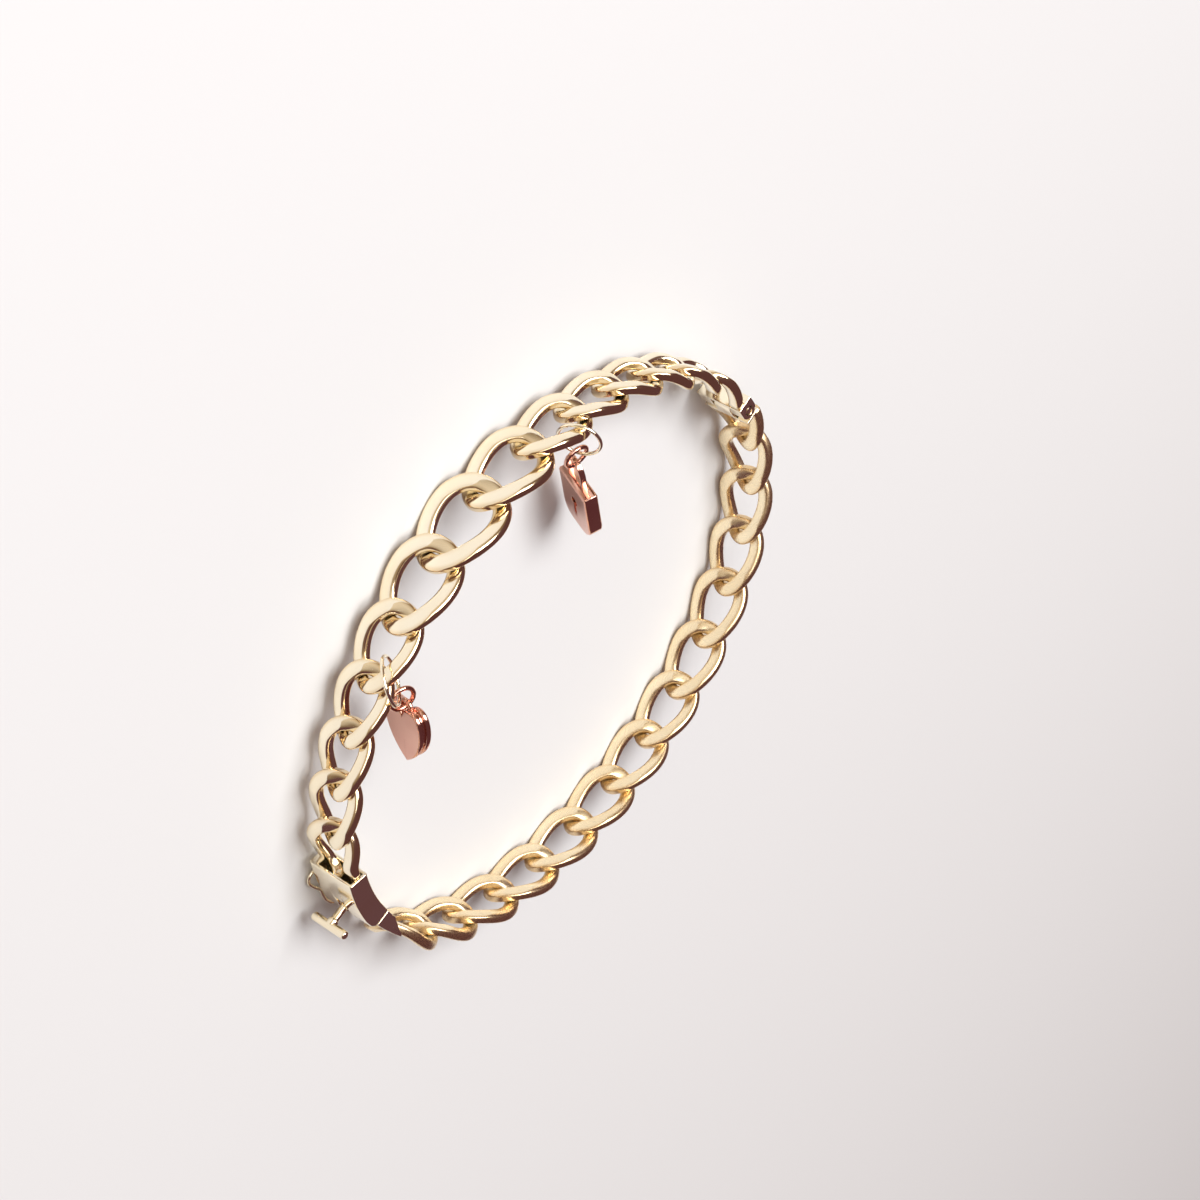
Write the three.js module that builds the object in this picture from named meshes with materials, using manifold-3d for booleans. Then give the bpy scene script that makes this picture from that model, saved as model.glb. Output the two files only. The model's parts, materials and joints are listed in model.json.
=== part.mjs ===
// Hinged oval bangle of graduated curb links with a box clasp, a safety catch and two charms.
// Millimetres, +Z up. It lies on its side: the wrist goes in along Z, the clasp is at +X, the
// hinge at -X, the front half at -Y and the plainer back half at +Y.
import * as THREE from "three";
import { mergeVertices } from "three/addons/utils/BufferGeometryUtils.js";
import Module from "manifold-3d";

const wasm = await Module();
wasm.setup();

// Driving dimensions
const BAND = { claspReach: 30, hingeReach: 29.45, halfWidth: 24.2 }; // mid-line oval of the metal
const FRONT = {
  count: 14,
  widest: 7,
  widestAt: 41.4, // along the mid-line from the clasp's end
  endWidth: 5.5,
  midWidth: 7.9,
  spread: 1.75, // how many links the swelling reaches to either side
  endPitch: 5.0,
  pitchPerWidth: 0.76,
};
const BACK = { count: 14, firstAt: -9.06, width: 5.9, pitch: 5.8 };
const STRIP = { base: 0.62, perWidth: 0.13, thickness: 0.92, lift: 0.33, liftPerStrip: 0.21, gap: 0.14 };
const LINK_MESH = { steps: 24, sides: 6 };
const BLOCK = { width: 5.2, gap: 0.15 }; // clasp and hinge, and their distance from the links
const BOX = {
  mouth: 6.55,
  wall: 0.3,
  outline: [[6.55, 0.9], [0.8, 0.74], [-0.1, 0.62], [-0.45, 0.42], [-0.45, -1.56], [6.55, -1.22]],
  inside: [[9, 0.6], [0.8, 0.44], [-0.1, 0.32], [-2, 0.1], [-2, -1.26], [9, -0.92]],
  notchWidth: 1.15,
  notchTo: 2.35,
};
const TONGUE = {
  outline: [[-0.62, 0.15], [-3, -0.05], [-5.1, -0.1], [-5.1, -0.4], [-2.4, -1.5], [-0.62, -1.5]],
  leafTo: 3.65,
  leafWidth: 3.9,
  leaf: 0.26,
  leafAt: -0.97,
};
const TAB = { from: 0.3, to: 4, leafAt: -0.27, at: 1.6, post: 0.36, barAt: 2.8, bar: 0.38, barLength: 4.2 };
const CATCH = { wire: 0.18, below: 0.5, out: -0.3, hingeAt: 4.35, lug: 0.4, lugHalf: 0.45 };
const CATCH_SIDE = [
  [4.35, 0.2], [4.35, 0.75], [4.1, 1.35], [3.5, 1.62], [2.6, 1.35], [1.65, 0.98], [0.9, 1.03],
  [0, 1.1], [-0.8, 0.98], [-1.4, 0.72], [-1.68, 0.3],
]; // one side of the figure of eight: along, and out from its own middle
const NUB = { at: -0.95, out: -0.36, radius: 0.27, height: 0.24 };
const HINGE = {
  at: 82.35,
  out: -0.22,
  half: 0.92, // half the thickness, and the knuckles' radius
  pin: 0.4,
  plateFrom: 1.02, // from the pin to an end plate's inner and outer side
  plateTo: 1.3,
  middleHalf: 0.95,
  gap: 0.12,
};
const RING = { wire: 0.18, farSide: 2.9 }; // from the arm's middle to the wire's, across the ring
const LINK = { radius: 1.15, wire: 0.22 }; // the small link between ring and charm
const PADLOCK = {
  width: 4.8,
  height: 5.9,
  depth: 1.4,
  corner: 1.5,
  shackle: 3.2,
  shackleWidth: 2.8,
  strap: 0.32,
};
const HEART = { width: 5, height: 6, depth: 1.3, eye: 0.7, groove: 0.24 };

const GOLD = new THREE.MeshStandardMaterial({ color: 0xe3c48c, metalness: 1, roughness: 0.16 });
const SATIN_GOLD = new THREE.MeshStandardMaterial({ color: 0xd9bd8c, metalness: 1, roughness: 0.34 });
const ROSE_GOLD = new THREE.MeshStandardMaterial({ color: 0xcf9478, metalness: 1, roughness: 0.18 });

// The mid-line, run clockwise seen from above: clasp, front, hinge, back, clasp. It is an oval
// that is a little blunter at the hinge.
class Oval extends THREE.Curve {
  getPoint(share, target = new THREE.Vector3()) {
    const angle = -2 * Math.PI * share;
    const reach = Math.cos(angle) > 0 ? BAND.claspReach : BAND.hingeReach;
    return target.set(reach * Math.cos(angle), BAND.halfWidth * Math.sin(angle), 0);
  }
}
const midline = new Oval();
midline.arcLengthDivisions = 1500;
const around = midline.getLength();

function placeOnMidline(along) {
  const share = THREE.MathUtils.euclideanModulo(along, around) / around;
  return { point: midline.getPointAt(share), tangent: midline.getTangentAt(share) };
}

// A place on the band: along it, outwards from the mid-line, and up.
function onBand(along, out, up = 0) {
  const { point, tangent } = placeOnMidline(along);
  return new THREE.Vector3(point.x - tangent.y * out, point.y + tangent.x * out, up);
}

// A group whose X runs along the band and whose Y points outwards at that place.
function station(along) {
  const { point, tangent } = placeOnMidline(along);
  const place = new THREE.Group();
  place.position.copy(point);
  place.rotation.z = Math.atan2(tangent.y, tangent.x);
  return place;
}

function radiusOfBend(along) {
  const { point } = placeOnMidline(along);
  const reach = point.x > 0 ? BAND.claspReach : BAND.hingeReach;
  const sine = (point.y / BAND.halfWidth) * reach;
  const cosine = (point.x / reach) * BAND.halfWidth;
  return Math.hypot(sine, cosine) ** 3 / (reach * BAND.halfWidth);
}

function solidOf(geometry, matrix = new THREE.Matrix4()) {
  const bare = new THREE.BufferGeometry();
  bare.setAttribute("position", geometry.getAttribute("position").clone());
  if (geometry.index) bare.setIndex(geometry.index.clone());
  const merged = mergeVertices(bare.applyMatrix4(matrix), 1e-4);
  return new wasm.Manifold(
    new wasm.Mesh({
      numProp: 3,
      vertProperties: new Float32Array(merged.attributes.position.array),
      triVerts: new Uint32Array(merged.index.array),
    }),
  );
}

function geometryOf(solid) {
  const mesh = solid.getMesh();
  const geometry = new THREE.BufferGeometry();
  geometry.setAttribute("position", new THREE.BufferAttribute(mesh.vertProperties, 3));
  geometry.setIndex(new THREE.BufferAttribute(mesh.triVerts, 1));
  geometry.computeVertexNormals();
  return geometry;
}

// A closed ring whose surface is given by place(turn, side), both in radians.
function closedRing(steps, sides, place) {
  const ring = new THREE.TorusGeometry(2, 1, sides, steps);
  const { position, uv } = ring.attributes;
  for (let i = 0; i < position.count; i++) {
    const turn = Math.round(uv.getX(i) * steps) % steps;
    const side = Math.round(uv.getY(i) * sides) % sides;
    const point = place((turn / steps) * 2 * Math.PI, (side / sides) * 2 * Math.PI);
    position.setXYZ(i, point.x, point.y, point.z);
  }
  return ring;
}

const stripWidth = (width) => STRIP.base + STRIP.perWidth * width;
const liftOf = (strip) => STRIP.lift + STRIP.liftPerStrip * strip;

// One curb link: an oval of flat strip, twisted so that each end passes outside one arm of its
// neighbour and inside the other, and bent to the band's radius. X along, Y out, Z across.
function curbLink({ width, along, halves }) {
  const strip = stripWidth(width);
  const halfAcross = (width - strip) / 2;
  const bend = radiusOfBend(along);
  const halfAlong = (turn) => (Math.cos(turn) > 0 ? halves[1] : halves[0]);
  const centre = (turn) =>
    new THREE.Vector3(
      halfAlong(turn) * Math.cos(turn),
      liftOf(strip) * Math.sin(2 * turn),
      -halfAcross * Math.sin(turn),
    );
  return closedRing(LINK_MESH.steps, LINK_MESH.sides, (turn, side) => {
    const middle = centre(turn);
    const forward = centre(turn + 1e-3).sub(centre(turn - 1e-3)).normalize();
    const slope = -halfAlong(turn) * Math.sin(turn);
    const outOfRing = new THREE.Vector3(halfAcross * Math.cos(turn), 0, slope);
    outOfRing.addScaledVector(forward, -outOfRing.dot(forward)).normalize();
    const upOfRing = new THREE.Vector3().crossVectors(outOfRing, forward);
    middle.addScaledVector(outOfRing, (strip / 2) * Math.cos(side));
    middle.addScaledVector(upOfRing, (STRIP.thickness / 2) * (Math.sin(side) / Math.sin(Math.PI / 3)));
    const angle = middle.x / bend;
    const reach = bend + middle.y;
    return new THREE.Vector3(reach * Math.sin(angle), reach * Math.cos(angle) - bend, middle.z);
  });
}

// A block across the band. Its outline is given by [along, out] corners, and its long edges
// follow the band.
function bandBlock(corners, width) {
  const outline = corners.flatMap(([along, out], i) => {
    const [nextAlong, nextOut] = corners[(i + 1) % corners.length];
    const steps = Math.ceil(Math.abs(nextAlong - along)) || 1;
    return Array.from({ length: steps }, (_, step) =>
      onBand(along + ((nextAlong - along) * step) / steps, out + ((nextOut - out) * step) / steps),
    );
  });
  const shape = new THREE.Shape(outline);
  const block = new THREE.ExtrudeGeometry(shape, { depth: width, bevelEnabled: false, curveSegments: 1 });
  return block.translate(0, 0, -width / 2);
}

// A straight block in a station's own axes: along, out and across, each as [low, high].
function boxBetween(at, along, out, across) {
  const box = new THREE.BoxGeometry(along[1] - along[0], out[1] - out[0], across[1] - across[0]);
  box.translate((along[0] + along[1]) / 2, (out[0] + out[1]) / 2, (across[0] + across[1]) / 2);
  const place = station(at);
  place.updateMatrix();
  return box.applyMatrix4(place.matrix);
}

function rodAcross(at, radius, low, high, out, sides = 16) {
  const rod = new THREE.CylinderGeometry(radius, radius, high - low, sides);
  rod.rotateX(Math.PI / 2).translate(0, out, (low + high) / 2);
  const place = station(at);
  place.updateMatrix();
  return rod.applyMatrix4(place.matrix);
}

function rodOut(at, radius, low, high, up) {
  const rod = new THREE.CylinderGeometry(radius, radius, high - low, 12);
  rod.translate(0, (low + high) / 2, up);
  const place = station(at);
  place.updateMatrix();
  return rod.applyMatrix4(place.matrix);
}

const bangle = new THREE.Group();

function addMesh(name, geometry, material, parent = bangle) {
  const mesh = new THREE.Mesh(geometry, material);
  mesh.name = name;
  parent.add(mesh);
  return mesh;
}

// Clasp box: a curved tube, open at the link's end and at the seam, with a notch for the tab
// and a lug under it that holds the safety catch.
const wireLevel = -BLOCK.width / 2 - CATCH.below;
function claspBox() {
  const inside = bandBlock(BOX.inside, BLOCK.width - 2 * BOX.wall);
  const notch = [-BOX.notchWidth / 2, BOX.notchWidth / 2];
  const lugEnds = [CATCH.out - CATCH.lugHalf, CATCH.out + CATCH.lugHalf];
  const neck = [wireLevel, -BLOCK.width / 2 + 0.1];
  return solidOf(bandBlock(BOX.outline, BLOCK.width))
    .subtract(solidOf(inside))
    .subtract(solidOf(boxBetween(0, [-1, BOX.notchTo], [0, 2], notch)))
    .add(solidOf(boxBetween(CATCH.hingeAt, [-CATCH.lug, CATCH.lug], lugEnds, neck)))
    .add(solidOf(rodOut(CATCH.hingeAt, CATCH.lug, ...lugEnds, wireLevel)))
    .subtract(solidOf(rodOut(CATCH.hingeAt, CATCH.wire + 0.08, -2, 2, wireLevel)));
}

const leafAcross = [-TONGUE.leafWidth / 2, TONGUE.leafWidth / 2];
const leafOut = (middle) => [middle - TONGUE.leaf / 2, middle + TONGUE.leaf / 2];

// Tongue: the end block of the back half, the straight leaf fixed to it and the nub under it
// that the safety catch closes over.
function tongue() {
  const bottom = -BLOCK.width / 2;
  const leaf = boxBetween(0, [-1, TONGUE.leafTo], leafOut(TONGUE.leafAt), leafAcross);
  const nub = rodAcross(NUB.at, NUB.radius, bottom - NUB.height, bottom + 0.2, NUB.out, 12);
  return solidOf(bandBlock(TONGUE.outline, BLOCK.width)).add(solidOf(leaf)).add(solidOf(nub));
}

// Thumb tab: the springy upper leaf, folded down at its tip, with the post and the cross bar.
function thumbTab() {
  const leaf = leafOut(TAB.leafAt);
  const fold = [TONGUE.leafAt + TONGUE.leaf / 2 - 0.02, TAB.leafAt];
  const across = TAB.barLength / 2 - TAB.bar;
  const bar = new THREE.CapsuleGeometry(TAB.bar, 2 * across, 4, 12).rotateX(Math.PI / 2);
  const post = new THREE.CylinderGeometry(TAB.post, TAB.post, TAB.barAt - TAB.leafAt, 12);
  const place = station(0);
  place.updateMatrix();
  const toTab = (geometry, out) => solidOf(geometry.translate(TAB.at, out, 0), place.matrix);
  return solidOf(boxBetween(0, [TAB.from, TAB.to], leaf, leafAcross))
    .add(solidOf(boxBetween(0, [TAB.to - TONGUE.leaf, TAB.to], fold, leafAcross)))
    .add(toTab(post, (TAB.barAt + TAB.leafAt) / 2))
    .add(toTab(bar, TAB.barAt));
}

// Safety catch: a wire bent to a figure of eight, lying flat under the clasp. Its straight
// part runs through the lug.
function safetyCatch() {
  const { out, wire } = CATCH;
  const points = [
    ...CATCH_SIDE.map(([along, half]) => onBand(along, out + half, wireLevel)),
    ...CATCH_SIDE.toReversed().map(([along, half]) => onBand(along, out - half, wireLevel)),
  ];
  const loop = new THREE.CatmullRomCurve3(points, true, "centripetal");
  const upwards = new THREE.Vector3(0, 0, 1);
  return closedRing(48, 8, (turn, side) => {
    const share = turn / (2 * Math.PI);
    const sideways = new THREE.Vector3().crossVectors(loop.getTangentAt(share), upwards);
    return loop
      .getPointAt(share)
      .addScaledVector(sideways, wire * Math.cos(side))
      .addScaledVector(upwards, wire * Math.sin(side));
  });
}

// Hinge leaf: an end plate and its knuckles, which fill the hinge's thickness and are rounded
// about the pin. The front half has the two outer knuckles and the back half the middle one.
// "side" is -1 for the front leaf and 1 for the back one.
function hingeLeaf(side, knuckles) {
  const { at, out, half, plateFrom, plateTo, pin } = HINGE;
  const thick = [out - half, out + half];
  const reach = (from, to) => (side > 0 ? [from, to] : [-to, -from]);
  const wide = [-BLOCK.width / 2, BLOCK.width / 2];
  let leaf = solidOf(boxBetween(at, reach(plateFrom, plateTo), thick, wide));
  for (const [low, high] of knuckles) {
    leaf = leaf.add(solidOf(rodAcross(at, half, low, high, out)));
    leaf = leaf.add(solidOf(boxBetween(at, reach(0, plateTo), thick, [low, high])));
  }
  return leaf.subtract(solidOf(rodAcross(at, pin + 0.1, -BLOCK.width, BLOCK.width, out, 12)));
}

const edgeOfMiddle = HINGE.middleHalf + HINGE.gap;
const outerKnuckles = [
  [-BLOCK.width / 2, -edgeOfMiddle],
  [edgeOfMiddle, BLOCK.width / 2],
];
const middleKnuckle = [[-HINGE.middleHalf, HINGE.middleHalf]];
const pin = rodAcross(HINGE.at, HINGE.pin, -BLOCK.width / 2, BLOCK.width / 2, HINGE.out, 12);

addMesh("clasp_box", geometryOf(claspBox()), GOLD);
addMesh("clasp_tongue", geometryOf(tongue()), GOLD);
addMesh("thumb_tab", geometryOf(thumbTab()), GOLD);
addMesh("safety_catch", safetyCatch(), GOLD);
addMesh("hinge_front", geometryOf(hingeLeaf(-1, outerKnuckles)), GOLD);
addMesh("hinge_back", geometryOf(hingeLeaf(1, middleKnuckle)), GOLD);
addMesh("hinge_pin", pin, GOLD);

// The links next to a block are cut where they are soldered to it.
const { gap } = BLOCK;
const cutBlock = (from, to) => bandBlock([[from, 3], [to, 3], [to, -3], [from, -3]], 12);
const pastTongue = [[-5.1, 3], [-5.1, -0.5], [-2.4, -1.5 - gap], [-2.4, -3]];
const clearOfTongue = pastTongue.map(([along, out]) => [along - gap, out]);
const cutters = {
  link_front_01: cutBlock(-1, BOX.mouth + gap),
  link_front_14: cutBlock(HINGE.at - HINGE.plateTo - gap, HINGE.at + 4),
  link_back_01: bandBlock([[1, 3], ...clearOfTongue, [1, -3]], 12),
  link_back_14: cutBlock(HINGE.at - 4, HINGE.at + HINGE.plateTo + gap),
};

// Rows of links in order of their place along the mid-line. The front ones swell to a wide
// middle link, and the back ones are all alike.
function frontRow() {
  const widths = Array.from({ length: FRONT.count }, (_, i) => {
    const away = (i + 1 - FRONT.widest) / FRONT.spread;
    return FRONT.endWidth + (FRONT.midWidth - FRONT.endWidth) * Math.exp(-away * away);
  });
  const pitches = widths.slice(1).map((width, i) => {
    const mean = (width + widths[i]) / 2;
    return FRONT.endPitch + FRONT.pitchPerWidth * (mean - FRONT.endWidth);
  });
  const sum = (list) => list.reduce((total, pitch) => total + pitch, 0);
  const start = FRONT.widestAt - sum(pitches.slice(0, FRONT.widest - 1));
  return widths.map((width, i) => ({ width, along: start + sum(pitches.slice(0, i)) }));
}

function backRow() {
  return Array.from({ length: BACK.count }, (_, i) => ({
    width: BACK.width,
    along: around + BACK.firstAt - (BACK.count - 1 - i) * BACK.pitch,
  }));
}

// How far each link reaches to either side of its own middle, so that the strips of two
// neighbours clear each other where they interlock.
function linked(row) {
  const reach = (a, b) =>
    (Math.abs(a.along - b.along) + (stripWidth(a.width) + stripWidth(b.width)) / 2 + STRIP.gap) / 2;
  return row.map((link, i) => {
    const before = row[i - 1] ?? row[i + 1];
    const after = row[i + 1] ?? row[i - 1];
    return { ...link, halves: [reach(link, before), reach(link, after)] };
  });
}

function addLink(name, link, material) {
  const place = station(link.along);
  const geometry = curbLink(link);
  bangle.add(place);
  if (!cutters[name]) {
    addMesh(name, geometry, material, place);
    return;
  }
  place.updateMatrix();
  const toPlace = place.matrix.clone().invert();
  addMesh(name, geometryOf(solidOf(geometry).subtract(solidOf(cutters[name], toPlace))), material, place);
}

const linkName = (side, number) => `link_${side}_${String(number).padStart(2, "0")}`;
const frontLinks = linked(frontRow());
frontLinks.forEach((link, i) => addLink(linkName("front", i + 1), link, GOLD));
linked(backRow()).forEach((link, i) => addLink(linkName("back", BACK.count - i), link, SATIN_GOLD));

// A charm's own axes: X across its face, Y from its tip towards the ring, Z out of its face,
// with the origin where the wire it hangs on passes through it.
function extruded(shape, depth, segments, low) {
  const block = new THREE.ExtrudeGeometry(shape, { depth, bevelEnabled: false, curveSegments: segments });
  return block.translate(0, 0, low);
}

// Padlock: a body with rounded lower corners, a flat strap for a shackle and a keyhole.
function padlock() {
  const { width, height, depth, corner, shackle, shackleWidth, strap } = PADLOCK;
  const w = width / 2;
  const arch = LINK.wire + 0.25 + strap; // the highest point, over the wire
  const top = arch - shackle;
  const foot = top - height;
  const body = new THREE.Shape();
  body.moveTo(-w, top);
  body.lineTo(-w, foot + corner);
  body.quadraticCurveTo(-w, foot, -w + corner, foot);
  body.lineTo(w - corner, foot);
  body.quadraticCurveTo(w, foot, w, foot + corner);
  body.lineTo(w, top);
  const outer = shackleWidth / 2;
  const inner = outer - strap;
  const springing = arch - outer;
  const bow = new THREE.Shape();
  bow.moveTo(-outer, top - 0.3);
  bow.lineTo(-inner, top - 0.3);
  bow.lineTo(-inner, springing);
  bow.absarc(0, springing, inner, Math.PI, 0, true);
  bow.lineTo(inner, top - 0.3);
  bow.lineTo(outer, top - 0.3);
  bow.lineTo(outer, springing);
  bow.absarc(0, springing, outer, 0, Math.PI, false);
  const eye = new THREE.CylinderGeometry(0.5, 0.5, 0.8, 12);
  eye.rotateX(Math.PI / 2).translate(0, top - height * 0.42, depth / 2 + 0.1);
  const slot = new THREE.BoxGeometry(0.42, 1.5, 0.8);
  slot.translate(0, top - height * 0.42 - 0.95, depth / 2 + 0.1);
  return solidOf(extruded(body, depth, 5, -depth / 2))
    .add(solidOf(extruded(bow, depth * 0.42, 8, -depth * 0.21)))
    .subtract(solidOf(eye))
    .subtract(solidOf(slot));
}

function heartOutline(width, top, tip) {
  const w = width / 2;
  const at = (share) => top + (tip - top) * share;
  const shape = new THREE.Shape();
  shape.moveTo(0, at(0.15));
  shape.bezierCurveTo(-w * 0.2, at(-0.04), -w * 0.98, at(-0.09), -w, at(0.29));
  shape.bezierCurveTo(-w, at(0.62), -w * 0.5, at(0.86), 0, tip);
  shape.bezierCurveTo(w * 0.5, at(0.86), w, at(0.62), w, at(0.29));
  shape.bezierCurveTo(w * 0.98, at(-0.09), w * 0.2, at(-0.04), 0, at(0.15));
  return shape;
}

// Heart: two thick plates with a groove between their rims, and an eye soldered in the cleft.
function heart() {
  const { width, height, depth, eye, groove } = HEART;
  const eyeFoot = 2 * LINK.wire + 0.17 - 2 * eye; // the lowest point of the eye's wire line
  const top = eyeFoot + height * 0.15 + 0.1;
  const tip = top - height;
  const plate = depth / 2 - groove / 2;
  const core = heartOutline(width - 2 * groove, top - groove, tip + 1.6 * groove);
  const ring = new THREE.TorusGeometry(eye, LINK.wire, 8, 16);
  ring.translate(0, eyeFoot + eye, 0);
  return solidOf(extruded(heartOutline(width, top, tip), plate, 7, groove / 2))
    .add(solidOf(extruded(heartOutline(width, top, tip), plate, 7, -depth / 2)))
    .add(solidOf(extruded(core, depth / 2, 7, -depth / 4)))
    .add(solidOf(ring));
}

// How each charm lies: its jump ring goes round the upper arm of a front link, "shift" along
// from the link's middle. The ring and the small link point along "chain", turned by "roll"
// about it, and the charm's tip points along "hang", with its face turned by "hangRoll".
const CHARMS = [
  {
    name: "padlock",
    solid: padlock,
    ringRadius: 1.95,
    link: 9,
    shift: 1.23,
    chain: [0.238, 0.911, -0.3],
    hang: [0.174, 0.98, -0.1],
    roll: 0.38,
    ringTurn: 0.8,
    hangRoll: 0.38,
  },
  {
    name: "heart",
    solid: heart,
    ringRadius: 2.2,
    link: 5,
    shift: -1.8,
    chain: [0.045, 0.996, 0.02],
    hang: [0.43, 0.9, 0.06],
    roll: 0,
    ringTurn: -0.8,
    hangRoll: 0.15,
  },
];

// The middle of a link's upper arm, "shift" along the band from the link's own middle.
function upperArm({ width, along, halves }, shift) {
  const strip = stripWidth(width);
  const cosine = shift / (shift > 0 ? halves[1] : halves[0]);
  const sine = Math.sqrt(1 - cosine * cosine);
  return onBand(along + shift, -2 * liftOf(strip) * sine * cosine, ((width - strip) / 2) * sine);
}

// A turn that leads -Y along "towards", with Z level where "roll" is zero.
function turnTo(towards, roll) {
  const face = new THREE.Vector3().crossVectors(towards, new THREE.Vector3(0, 0, 1)).normalize();
  face.applyAxisAngle(towards, roll);
  const across = new THREE.Vector3().crossVectors(face, towards);
  return new THREE.Matrix4().makeBasis(across, towards.clone().negate(), face);
}

for (const { name, solid, ringRadius, link, shift, chain, hang, roll, ringTurn, hangRoll } of CHARMS) {
  const arm = upperArm(frontLinks[link - 1], shift);
  const along = new THREE.Vector3(...chain).normalize();

  // A piece some way from the arm's middle along the chain, turned by "turn".
  const hangAt = (reach, turn, piece, geometry, material) => {
    const place = new THREE.Group();
    place.quaternion.setFromRotationMatrix(turn);
    place.position.copy(arm).addScaledVector(along, reach);
    bangle.add(place);
    return addMesh(piece, geometry, material, place);
  };
  const turn = turnTo(along, roll);
  const ringGeometry = new THREE.TorusGeometry(ringRadius, RING.wire, 8, 24);
  const ring = hangAt(RING.farSide - ringRadius, turn, `jump_ring_${name}`, ringGeometry, GOLD);
  ring.rotation.y = ringTurn;
  const linkReach = RING.farSide + LINK.radius - RING.wire - LINK.wire - 0.08;
  const linkGeometry = new THREE.TorusGeometry(LINK.radius, LINK.wire, 8, 16);
  const between = turnTo(along, (roll + hangRoll) / 2);
  const small = hangAt(linkReach, between, `charm_link_${name}`, linkGeometry, ROSE_GOLD);
  small.rotation.y = Math.PI / 2 + ringTurn / 4;
  const hanging = turnTo(new THREE.Vector3(...hang).normalize(), hangRoll);
  hangAt(linkReach + LINK.radius, hanging, `${name}_charm`, geometryOf(solid()), ROSE_GOLD);
}

// The wide front links hold that side up, so at rest the back half leans down a little. The
// frame's origin is under the middle, on the surface that the bangle lies on.
const part = new THREE.Group();
bangle.rotation.x = -Math.atan2((FRONT.midWidth - BACK.width) / 2, 2 * BAND.halfWidth);
part.add(bangle);
const bounds = new THREE.Box3().setFromObject(part, true);
bangle.position.set(
  -(bounds.min.x + bounds.max.x) / 2,
  -(bounds.min.y + bounds.max.y) / 2,
  -bounds.min.z,
);

export default part;
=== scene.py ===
# Hinged oval bangle of curb links in yellow gold, with a box clasp, a safety catch and two
# rose gold charms. It lies on its side on a pale floor.
import json
import math

import bpy
import numpy as np
from mathutils import Matrix, Vector


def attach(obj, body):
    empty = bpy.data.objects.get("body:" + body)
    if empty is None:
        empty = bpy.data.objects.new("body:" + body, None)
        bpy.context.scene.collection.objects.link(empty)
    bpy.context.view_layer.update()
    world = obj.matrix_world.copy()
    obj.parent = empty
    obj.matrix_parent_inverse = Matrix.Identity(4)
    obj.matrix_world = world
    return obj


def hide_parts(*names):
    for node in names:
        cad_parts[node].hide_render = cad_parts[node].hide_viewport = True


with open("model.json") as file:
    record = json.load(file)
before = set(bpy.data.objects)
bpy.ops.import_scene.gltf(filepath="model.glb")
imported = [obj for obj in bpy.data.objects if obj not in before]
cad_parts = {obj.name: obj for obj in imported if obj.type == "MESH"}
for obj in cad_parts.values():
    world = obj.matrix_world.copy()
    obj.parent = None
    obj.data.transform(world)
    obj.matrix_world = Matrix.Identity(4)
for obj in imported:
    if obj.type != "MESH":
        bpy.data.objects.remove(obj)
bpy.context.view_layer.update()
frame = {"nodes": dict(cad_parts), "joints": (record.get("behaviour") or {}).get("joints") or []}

print("frame loaded:", len(frame["nodes"]), "pieces")

# The oval of the band, in millimetres. A place on it is how far along the middle line from
# the oval's end at the clasp, how far outwards from that line, and how far up.
band = {
    "claspReach": 30.0,   # half its length, on the clasp's side
    "hingeReach": 29.45,  # and on the hinge's side, which is blunter
    "halfWidth": 24.2,
    "pinAlong": 82.35,    # where the hinge's pin stands
    "pinOut": -0.22,
}
ovalAngles = np.linspace(0, 2 * math.pi, 7201)


# Half the oval's length, on the side where an angle lies.
def reachAt(angle):
    return np.where(np.cos(angle) > 0, band["claspReach"], band["hingeReach"])


ovalX = reachAt(ovalAngles) * np.cos(ovalAngles)
ovalY = -band["halfWidth"] * np.sin(ovalAngles)
ovalSteps = np.hypot(np.diff(ovalX), np.diff(ovalY))
ovalLengths = np.concatenate([[0], np.cumsum(ovalSteps)])
around = ovalLengths[-1]


# Middle line and outward normal at lengths along it: (a cos, -b sin) and (b cos, -a sin).
def middleAt(along):
    angle = np.interp(np.mod(along, around), ovalLengths, ovalAngles)
    a, b = reachAt(angle), band["halfWidth"]
    normal = np.stack([b * np.cos(angle), -a * np.sin(angle)], -1)
    normal /= np.linalg.norm(normal, axis=-1, keepdims=True)
    return np.stack([a * np.cos(angle), -b * np.sin(angle)], -1), normal


# Point = middle(along) + out * normal + up * Z, for whole arrays.
def onBand(along, out, up):
    along, out, up = np.broadcast_arrays(along, out, up)
    middle, normal = middleAt(along)
    return np.concatenate([middle + out[..., None] * normal, up[..., None]], -1)


# Straight axes at one place of the band: x along its tangent, y outwards, z up.
def atStation(at, points):
    middle, normal = middleAt(np.array(at))
    tangent = np.array([normal[1], -normal[0]])
    flat = middle + points[..., :1] * tangent + points[..., 1:2] * normal
    return np.concatenate([flat, points[..., 2:]], -1)


# The bangle leans a little where it lies, so the oval's frame is turned and moved to where
# the hinge's pin and axis are in the model.
hinge = next(j for j in frame["joints"] if j["name"] == "bangle_hinge")
axisUp = Vector(hinge["axis"]).normalized()
lean = math.atan2(axisUp.y, axisUp.z)
turnToRest = np.array(Matrix.Rotation(-lean, 3, "X"))
pinInBand = onBand(np.array(band["pinAlong"]), np.array(band["pinOut"]), np.array(0.0))
restShift = np.array(hinge["pos_m"]) * 1000 - turnToRest @ pinInBand


# Model point = turn * band point + shift, in metres.
def toRest(points):
    return (points @ turnToRest.T + restShift) / 1000


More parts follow.
